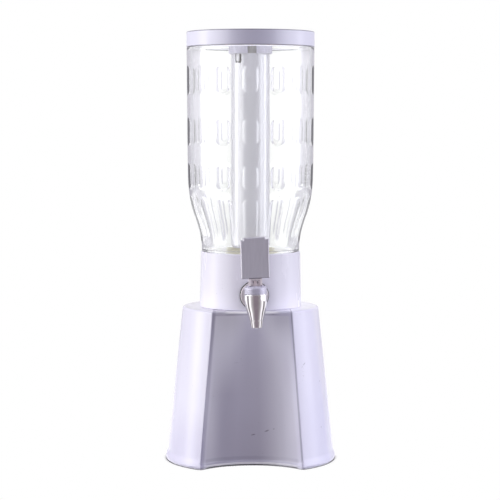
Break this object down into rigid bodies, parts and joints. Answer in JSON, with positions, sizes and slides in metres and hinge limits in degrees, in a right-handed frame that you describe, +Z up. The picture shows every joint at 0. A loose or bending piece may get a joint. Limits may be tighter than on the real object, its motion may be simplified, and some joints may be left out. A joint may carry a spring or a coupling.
{
  "type": "beer tower dispenser",
  "caption": "Table drink dispenser: waisted stand with a concave front, collar with a self-closing lever tap, clear dimpled jar, flat lid with a hanging ice tube.",
  "frame": {"origin": "centre of the foot on the table, on the tower's axis", "axes": "+Z up along the tower; the tap and the scallop face -Y; +X to the viewer's right when facing the tap"},
  "size_m": [0.1908, 0.186, 0.4778],
  "materials": {
    "white_plastic": "gloss white moulded plastic",
    "lid_plastic": "gloss white moulded plastic",
    "tube_plastic": "gloss white moulded plastic, slightly translucent",
    "clear_plastic": "clear, dimpled and fluted",
    "aged_silicone": "yellowed translucent silicone",
    "clear_silicone": "milky silicone",
    "black_rubber": "matte black rubber",
    "chrome": "bright chrome plating",
    "satin_plate": "satin mid-grey",
    "steel": "plain stainless steel",
    "nut_plastic": "matte white moulded plastic"
  },
  "bodies": {
    "stand": {"base_shell": "white_plastic", "ring_nut": "nut_plastic", "collar": "white_plastic", "jar": "clear_plastic", "jar_seal": "aged_silicone", "tap_body": "chrome", "tap_flange": "chrome", "outer_washer": "black_rubber", "inner_washer": "clear_silicone", "shank_nut": "nut_plastic", "bonnet": "chrome", "stem_seal": "clear_silicone", "return_spring": "steel"},
    "lid": {"lid": "lid_plastic", "lid_seal": "clear_silicone", "tube_seal": "clear_silicone"},
    "ice_tube": {"ice_tube": "tube_plastic"},
    "stem": {"stem": "nut_plastic", "seat_cup": "clear_silicone"},
    "lever": {"lever": "chrome", "lever_pin": "steel", "handle_plate": "satin_plate", "plate_screws": "steel"}
  },
  "joints": [
    {"name": "lid_lift", "type": "slide", "parent": "stand", "child": "lid", "axis": [0, 0, 1], "range_m": [0, 0.245]},
    {"name": "tube_twist", "type": "hinge", "parent": "lid", "child": "ice_tube", "pos_m": [0, 0, 0.4575], "axis": [0, 0, 1], "range_deg": [0, 44]},
    {"name": "stem_lift", "type": "slide", "parent": "stand", "child": "stem", "axis": [-0.0296, -0.0012, 0.9996], "range_m": [0, 0.0032], "stiffness_N_per_m": 60, "springref_m": -0.004, "deforming": ["return_spring"]},
    {"name": "lever_tilt", "type": "hinge", "parent": "stem", "child": "lever", "pos_m": [0.0028, -0.07795, 0.20479], "axis": [0.9987, 0.0419, 0.0297], "range_deg": [0, 30]}
  ],
  "couplings": [
    {"joint": "stem_lift", "follows": "lever_tilt", "m_per_rad": 0.006}
  ]
}
